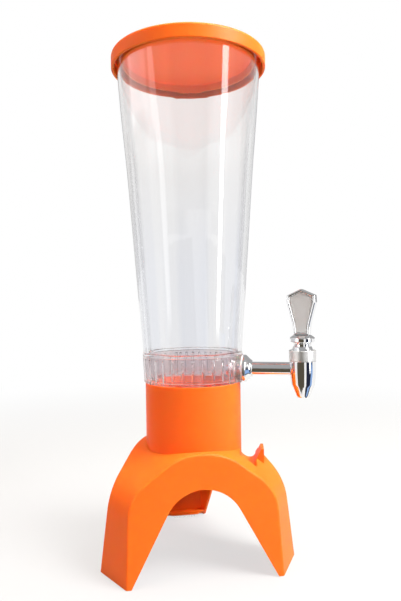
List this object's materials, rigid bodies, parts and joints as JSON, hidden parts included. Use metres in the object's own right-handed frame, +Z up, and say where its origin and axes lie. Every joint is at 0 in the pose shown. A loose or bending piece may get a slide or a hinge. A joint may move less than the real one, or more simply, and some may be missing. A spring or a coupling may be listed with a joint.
{
  "type": "beer tower dispenser",
  "caption": "Tall clear fluted drink tower on a moulded tripod with a round collar, a push-on lid and a side lever tap.",
  "frame": {"origin": "on the tower's upright axis, at the surface that the foot pads stand on", "axes": "+Z up along the tower's axis; +X roughly towards the tap, which points 14 degrees from +X towards -Y"},
  "size_m": [0.213, 0.1777, 0.5038],
  "materials": {
    "orange": "satin moulded plastic",
    "clear": "polished clear plastic",
    "chrome": "bright chrome plating",
    "steel": "turned stainless steel",
    "panel": "light grey satin inset",
    "seal": "milky silicone rubber"
  },
  "bodies": {
    "base": {"tripod_base": "orange", "foot_pad_right": "seal", "foot_pad_rear": "seal", "foot_pad_left": "seal", "collar_tube": "orange", "collar_screws": "steel"},
    "cup": {"cup": "clear", "grip_skirt": "clear", "plug_o_ring": "seal", "tap_shank": "chrome", "tap_flange": "chrome", "flange_washer": "seal", "inner_washer": "seal", "lock_nut": "chrome", "faucet_body": "chrome", "coupling_washer": "seal", "lever_bonnet": "chrome", "ball_washer": "seal"},
    "lid": {"lid": "orange", "lid_seal": "seal"},
    "lever": {"tap_lever": "steel", "handle_ferrule": "chrome", "handle_frame": "chrome", "handle_panel_front": "panel", "handle_panel_back": "panel"},
    "valve": {"valve_shaft": "steel", "shaft_seal": "seal", "seal_nut": "steel"}
  },
  "joints": [
    {"name": "cup_lift", "type": "slide", "parent": "base", "child": "cup", "axis": [0, 0, 1], "range_m": [0, 0.06]},
    {"name": "lid_lift", "type": "slide", "parent": "cup", "child": "lid", "axis": [0, 0, 1], "range_m": [0, 0.05]},
    {"name": "tap_lever", "type": "hinge", "parent": "cup", "child": "lever", "pos_m": [0.10761, -0.02683, 0.2045], "axis": [0.2419, 0.9703, 0], "range_deg": [0, 22]},
    {"name": "valve_slide", "type": "slide", "parent": "cup", "child": "valve", "axis": [-0.9703, 0.2419, 0], "range_m": [0, 0.0066]}
  ],
  "couplings": [
    {"joint": "valve_slide", "follows": "tap_lever", "m_per_rad": 0.0168}
  ]
}
